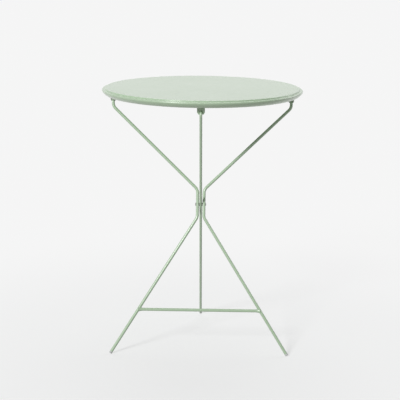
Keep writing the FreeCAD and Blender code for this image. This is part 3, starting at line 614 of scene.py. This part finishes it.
class TABLE_OT_top(bpy.types.Operator):
    """Spin the pressed sheet top with its stepped shoulder, rolled rim and turned-in skirt"""

    bl_idname = "table.top"
    bl_label = "Tabletop"

    def execute(self, context):
        bm = lathe(self.section(context.scene.table_sizes), TOP_STEPS)
        item = object_from(bm, "tabletop_sheet")
        settle(context, item, "top", "sage_paint", "tabletop")
        return {"FINISHED"}

    def section(self, sizes):
        """Outer face from the middle out, round the roll and down the skirt, then the inner face back."""
        sheet, shoulder, fillet = sizes.sheet, sizes.shoulder, sizes.step_fillet
        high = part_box("tabletop")[1].z
        crown = high - sizes.rim_step
        outside = sizes.top_diameter / 2
        roll = (outside - sizes.rim_radius, crown - sizes.rim_radius)
        step = roll[0] - sizes.ledge
        flat = step - shoulder
        lip = (outside - sizes.lip_inset, high - sizes.rim_drop)
        skirt, start, end = self.skirt(sizes, roll, lip)
        rings = [*TOP_RINGS, flat - LAST_RING_INSET]
        points = [(radius, high) for radius in rings]
        points += arc((flat, high - shoulder), shoulder, 90, 0, OUTER_STEPS["shoulder"])
        points += arc((step + fillet, crown + fillet), fillet, 180, 270, OUTER_STEPS["fillet"])
        points += arc(roll, sizes.rim_radius, 90, start, OUTER_STEPS["roll"])
        points += arc(skirt, sizes.skirt_radius, start, end, OUTER_STEPS["skirt"])[1:-1]
        points += self.lip_edge(sheet / 2, lip, end)
        points += arc(skirt, sizes.skirt_radius - sheet, end, start, INNER_STEPS["skirt"])[1:-1]
        points += arc(roll, sizes.rim_radius - sheet, start, 90, INNER_STEPS["roll"])
        points += [(step - sheet, crown - sheet)]
        points += arc((flat, high - shoulder), shoulder - sheet, 0, 90, INNER_STEPS["shoulder"])
        points += [(radius, high - sheet) for radius in reversed(rings)]
        return points

    def skirt(self, sizes, roll, lip):
        """Middle and both angles of the arc that runs on smoothly from the roll and ends at the lip."""
        inward, down = roll[0] - lip[0], roll[1] - lip[1]
        bearing = math.pi / 2 + math.atan2(inward, down)
        reach = math.hypot(inward, down)
        offset = sizes.skirt_radius - sizes.rim_radius
        span = sizes.skirt_radius ** 2 - offset ** 2 - reach ** 2
        start = bearing - math.acos(span / (2 * reach * offset))
        middle = (roll[0] - offset * math.cos(start), roll[1] + offset * math.sin(start))
        end = math.atan2(middle[1] - lip[1], lip[0] - middle[0])
        return middle, -math.degrees(start), -math.degrees(end)

    def lip_edge(self, radius, lip, end):
        """Rounded edge of the sheet, which stops at the lip's outer corner."""
        sine, cosine = math.sin(math.radians(-end)), math.cos(math.radians(-end))
        middle = (lip[0] + radius * (sine - cosine), lip[1] + radius * (sine + cosine))
        return arc(middle, radius, end, end - 180, OUTER_STEPS["lip"])


class TABLE_OT_side_legs(bpy.types.Operator):
    """Bend the two side legs and drill them for the hinge bolts and the waist bolt"""

    bl_idname = "table.side_legs"
    bl_label = "Side legs"

    def execute(self, context):
        sizes = context.scene.table_sizes
        flat = sizes.side_rod / 2 - sizes.spotface_depth
        for side in SIDES:
            corners = side_leg_corners(sizes, side)
            item = rod(context, f"{side}_leg_rod", corners, sizes.side_rod, sizes.bend)
            hinge = Vector((corners[0].x, HINGE.y, HINGE.z))
            waist = Vector((corners[2].x, WAIST.y, WAIST.z))
            for place in (hinge, waist):
                boolean(item, drilling(sizes, place, flat), "DIFFERENCE")
            round_edges(item, sizes.edge)
            settle(context, item, "side_frame", "sage_paint", f"{side}_leg")
        return {"FINISHED"}


class TABLE_OT_crossbar(bpy.types.Operator):
    """Fit the crossbar between the side legs"""

    bl_idname = "table.crossbar"
    bl_label = "Crossbar"

    def execute(self, context):
        sizes = context.scene.table_sizes
        middle = middle_of("crossbar")
        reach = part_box("crossbar")[1].x
        ends = [Vector((side * reach, middle.y, middle.z)) for side in SIDES.values()]
        item = rod(context, "crossbar_rod", ends, sizes.side_rod, 0)
        for end in ends:
            boolean(item, self.flare(sizes, end), "UNION")
        for side in SIDES:
            leg = rod(context, "fitting", side_leg_corners(sizes, side), sizes.side_rod, sizes.bend)
            boolean(item, leg, "DIFFERENCE")
        settle(context, item, "side_frame", "sage_paint", "crossbar")
        return {"FINISHED"}

    def flare(self, sizes, end):
        """Hollow swelling of the weld round an end of the bar."""
        radius = sizes.side_rod / 2
        profile = [(0, 0)]
        for index in range(FLARE_STEPS):
            along = index / FLARE_STEPS
            profile.append((radius + sizes.weld_flare * (1 - along) ** 2, -along * sizes.weld_run))
        profile.append((0, -sizes.weld_run))
        bm = lathe(profile, ROD_SIDES)
        along_x(bm, end, math.copysign(1, end.x))
        return object_from(bm, "flare")


class TABLE_OT_centre_leg(bpy.types.Operator):
    """Bend the centre leg's hook, head its peg and drill it for the waist bolt"""

    bl_idname = "table.centre_leg"
    bl_label = "Centre leg"

    def execute(self, context):
        sizes = context.scene.table_sizes
        peg_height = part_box("centre_leg")[1].z - sizes.peg_head_radius
        hook = Vector((0, sizes.hook_inset - sizes.top_diameter / 2, peg_height))
        down = (WAIST - hook).normalized()
        floor = hook - down * (hook.z / down.z)
        end = floor - down * foot_cut(sizes, down, sizes.centre_rod)
        peg_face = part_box("front_catch")[0].y + sizes.peg_reach
        peg = Vector((0, peg_face, peg_height))
        item = rod(context, "centre_leg_rod", [peg, hook, end], sizes.centre_rod, sizes.hook_bend)
        boolean(item, self.peg_head(sizes, peg), "UNION")
        flat = sizes.centre_rod / 2 - sizes.spotface_depth
        boolean(item, drilling(sizes, WAIST, flat), "DIFFERENCE")
        round_edges(item, sizes.edge)
        settle(context, item, "rear_support", "sage_paint", "centre_leg")
        return {"FINISHED"}

    def peg_head(self, sizes, peg):
        """Upset head behind the catch, with rounded edges."""
        radius, thick = sizes.peg_head_radius, sizes.peg_head
        soft = thick / 3
        profile = [(0, 0)] + arc((radius - soft, soft), soft, -90, 0, PEG_EDGE_STEPS)
        profile += arc((radius - soft, thick - soft), soft, 0, 90, PEG_EDGE_STEPS) + [(0, thick)]
        bm = lathe(profile, HARDWARE_STEPS)
        bm.transform(Matrix.Translation(peg) @ Matrix.Rotation(math.radians(-90), 4, "X"))
        return object_from(bm, "peg_head")


class TABLE_OT_sheet_fittings(bpy.types.Operator):
    """Round the edges of the hinge brackets and the front catch"""

    bl_idname = "table.sheet_fittings"
    bl_label = "Brackets and catch"

    def execute(self, context):
        for node in ("left_hinge_bracket", "right_hinge_bracket", "front_catch"):
            item = node_copy(node, f"{node}_sheet")
            round_edges(item, context.scene.table_sizes.edge)
            settle(context, item, "top", "sage_paint", node)
        return {"FINISHED"}


class TABLE_OT_hardware(bpy.types.Operator):
    """Turn the bolts, washers and spacers, and round the cap nuts"""

    bl_idname = "table.hardware"
    bl_label = "Bolts, nuts and washers"

    def execute(self, context):
        sizes = context.scene.table_sizes
        for node in frame["nodes"]:
            if node.endswith(("washer", "spacer")):
                item = self.washer(sizes, node)
            elif node.endswith("bolt"):
                item = self.bolt(sizes, node)
            elif node.endswith("nut"):
                item = node_copy(node, f"{node}_zinc")
                round_edges(item, sizes.edge)
            else:
                continue
            settle(context, item, node_body(node), "dark_zinc", node)
        return {"FINISHED"}

    def washer(self, sizes, node):
        """Flat ring with its outer edges rounded."""
        low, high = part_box(node)
        half = (high.x - low.x) / 2
        outer = (high.z - low.z) / 2
        inner = sizes.bolt / 2 + sizes.bolt_play
        soft = min(sizes.edge, half / 2)
        profile = [(inner, -half), (inner, half)]
        profile += arc((outer - soft, half - soft), soft, 90, 0, WASHER_EDGE_STEPS)
        profile += arc((outer - soft, soft - half), soft, 0, -90, WASHER_EDGE_STEPS)
        bm = lathe(profile, HARDWARE_STEPS)
        along_x(bm, (low + high) / 2, 1)
        return object_from(bm, f"{node}_zinc")

    def bolt(self, sizes, node):
        """Domed head, its shank and a chamfered end; the left hinge bolt points the other way."""
        low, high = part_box(node)
        outward = -1 if node.startswith("left") else 1
        head = (high.z - low.z) / 2
        tall = sizes.bolt_head
        dome = (head ** 2 + tall ** 2) / (2 * tall)
        sweep = math.degrees(math.asin(head / dome))
        shank = sizes.bolt / 2
        end = high.x - low.x
        lip = sizes.edge
        profile = arc((0, -dome), dome, 90, 90 - sweep, DOME_STEPS)
        profile[0] = (0, 0)
        profile += [(head, -tall - lip / 4), (head - lip, -tall), (shank, -tall)]
        profile += [(shank, lip - end), (shank - lip, -end), (0, -end)]
        bm = lathe(profile, HARDWARE_STEPS)
        middle = (low + high) / 2
        crown = Vector((high.x if outward > 0 else low.x, middle.y, middle.z))
        along_x(bm, crown, outward)
        return object_from(bm, f"{node}_zinc")


class TABLE_OT_foot_glides(bpy.types.Operator):
    """Finish the three foot glides"""

    bl_idname = "table.foot_glides"
    bl_label = "Foot glides"

    def execute(self, context):
        for side in ("left", "right", "rear"):
            node = f"{side}_foot_glide"
            item = node_copy(node, f"{node}_plastic")
            settle(context, item, node_body(node), "glide_plastic", node)
        return {"FINISHED"}


class TABLE_OT_welds(bpy.types.Operator):
    """Lay weld beads round the crossbar's ends, along the brackets and round the catch's flange"""

    bl_idname = "table.welds"
    bl_label = "Weld beads"

    def execute(self, context):
        sizes = context.scene.table_sizes
        tree = weld_bead_tree()
        common = {"bead_radius": sizes.weld_bead, "ripple_pitch": sizes.weld_pitch,
                  "ripple_depth": RIPPLE_DEPTH, "sides": BEAD_SIDES,
                  "material": finish_for(context, "sage_paint")}
        rings = [self.saddle(sizes, side) for side in SIDES]
        bar_welds = run_tree(tree, "crossbar_welds", rings, closed=True, end_taper=0.0, **common)
        settle(context, bar_welds, "side_frame", "sage_paint")
        stitches = self.bracket_runs(sizes) + self.catch_runs(sizes)
        top_welds = run_tree(tree, "underside_welds", stitches, end_taper=END_TAPER, **common)
        settle(context, top_welds, "top", "sage_paint")
        return {"FINISHED"}

    def saddle(self, sizes, side):
        """Where the crossbar's round side meets a leg."""
        low, foot = side_leg_corners(sizes, side)[3:]
        leg = (foot - low).normalized()
        bar = Vector((-SIDES[side], 0, 0))
        middle = middle_of("crossbar")
        radius = sizes.side_rod / 2
        points = []
        for index in range(ROD_SIDES):
            angle = 2 * math.pi * index / ROD_SIDES
            start = Vector((0, middle.y + radius * math.cos(angle), middle.z + radius * math.sin(angle)))
            offset = start - low
            across = offset - leg * offset.dot(leg)
            slide = bar - leg * bar.dot(leg)
            square, linear = slide.dot(slide), across.dot(slide)
            rest = across.dot(across) - radius ** 2
            root = math.sqrt(max(linear ** 2 - square * rest, 0))
            points.append(start + bar * ((root - linear) / square))
        return points

    def bracket_runs(self, sizes):
        """Stitches in the grooves beside each bracket's bends, front and back."""
        runs = []
        for side in SIDES:
            low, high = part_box(f"{side}_hinge_bracket")
            reach = high.y
            z = high.z - sizes.weld_bead / 3
            for x in (low.x + sizes.weld_bead / 2, high.x - sizes.weld_bead / 2):
                for front, back in BRACKET_STITCHES:
                    runs.append([Vector((x, front * reach, z)), Vector((x, back * reach, z))])
        return runs

    def catch_runs(self, sizes):
        """Beads on both sides of the catch's flange and across its back."""
        low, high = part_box("front_catch")
        z = high.z - sizes.weld_bead / 3
        front = low.y + (high.y - low.y) * FLANGE_START
        back = high.y - sizes.weld_bead
        runs = [[Vector((low.x * FLANGE_SPAN, high.y, z)), Vector((high.x * FLANGE_SPAN, high.y, z))]]
        for x in (low.x, high.x):
            runs.append([Vector((x, front, z)), Vector((x, back, z))])
        return runs


class TABLE_OT_stage(bpy.types.Operator):
    """Set the floor, soft lamps, surroundings and camera"""

    bl_idname = "table.stage"
    bl_label = "Studio"

    def execute(self, context):
        stage = context.scene.table_studio
        self.floor(stage)
        self.surroundings(context, stage)
        for name, heading in LAMPS.items():
            self.lamp(name, getattr(stage, name), *heading)
        self.camera(context, stage)
        context.scene.view_settings.view_transform = "Standard"
        return {"FINISHED"}

    def floor(self, stage):
        bm = bmesh.new()
        bmesh.ops.create_circle(bm, cap_ends=True, segments=FLOOR_SIDES, radius=FLOOR_RADIUS)
        item = object_from(bm, "studio_floor")
        item.data.materials.append(studio_floor(stage))

    def surroundings(self, context, stage):
        """Faint light from all round, and the pale backdrop for the camera and reflections."""
        world = bpy.data.worlds.new("studio")
        context.scene.world = world
        world.use_nodes = True
        tree = world.node_tree
        background = tree.nodes["Background"]
        links = {"Value": seen_rays(tree), "To Min": stage.fill, "To Max": stage.backdrop}
        strength = add_node(tree, "ShaderNodeMapRange", links)
        tree.links.new(strength, background.inputs["Strength"])
        background.inputs["Color"].default_value = (1, 1, 1, 1)

    def lamp(self, name, strength, azimuth, height, softness):
        """Soft distant lamp at an azimuth from the front and a height, as wide in the sky as its softness."""
        data = bpy.data.lights.new(f"{name}_lamp", "SUN")
        data.energy = strength
        data.angle = math.radians(softness)
        item = add_object(data.name, data)
        item.rotation_euler = (math.radians(90 - height), 0, math.radians(azimuth))

    def camera(self, context, stage):
        data = bpy.data.cameras.new("camera")
        data.sensor_width = SENSOR_WIDTH
        data.lens = stage.lens
        item = add_object("camera", data)
        turn = Matrix.Rotation(stage.pan, 4, "Z") @ Matrix.Rotation(math.pi / 2 - stage.pitch, 4, "X")
        item.matrix_world = Matrix.Translation(stage.camera) @ turn @ Matrix.Rotation(stage.roll, 4, "Z")
        context.scene.camera = item


class TABLE_PT_panel(bpy.types.Panel):
    """Sizes, finishes and build steps of the table"""

    bl_label = "Folding Table"
    bl_idname = "TABLE_PT_panel"
    bl_space_type = "VIEW_3D"
    bl_region_type = "UI"
    bl_category = "Table"

    def draw(self, context):
        for operator in OPERATORS:
            self.layout.operator(operator.bl_idname)
        for group in GROUPS:
            settings = getattr(context.scene, group)
            for name in settings.bl_rna.properties.keys():
                if name not in ("rna_type", "name"):
                    self.layout.prop(settings, name)


OPERATORS = (TABLE_OT_top, TABLE_OT_side_legs, TABLE_OT_crossbar, TABLE_OT_centre_leg,
             TABLE_OT_sheet_fittings, TABLE_OT_hardware, TABLE_OT_foot_glides, TABLE_OT_welds, TABLE_OT_stage)
GROUPS = {"table_sizes": TableSizes, "table_finish": TableFinish, "table_studio": StudioSettings}
CLASSES = (*GROUPS.values(), *OPERATORS, TABLE_PT_panel)


def register():
    for item in CLASSES:
        bpy.utils.register_class(item)
    for name, group in GROUPS.items():
        setattr(bpy.types.Scene, name, PointerProperty(type=group))


def unregister():
    for name in GROUPS:
        delattr(bpy.types.Scene, name)
    for item in reversed(CLASSES):
        bpy.utils.unregister_class(item)


def main():
    register()
    for operator in OPERATORS:
        group, name = operator.bl_idname.split(".")
        getattr(getattr(bpy.ops, group), name)()


if __name__ == "__main__":
    main()
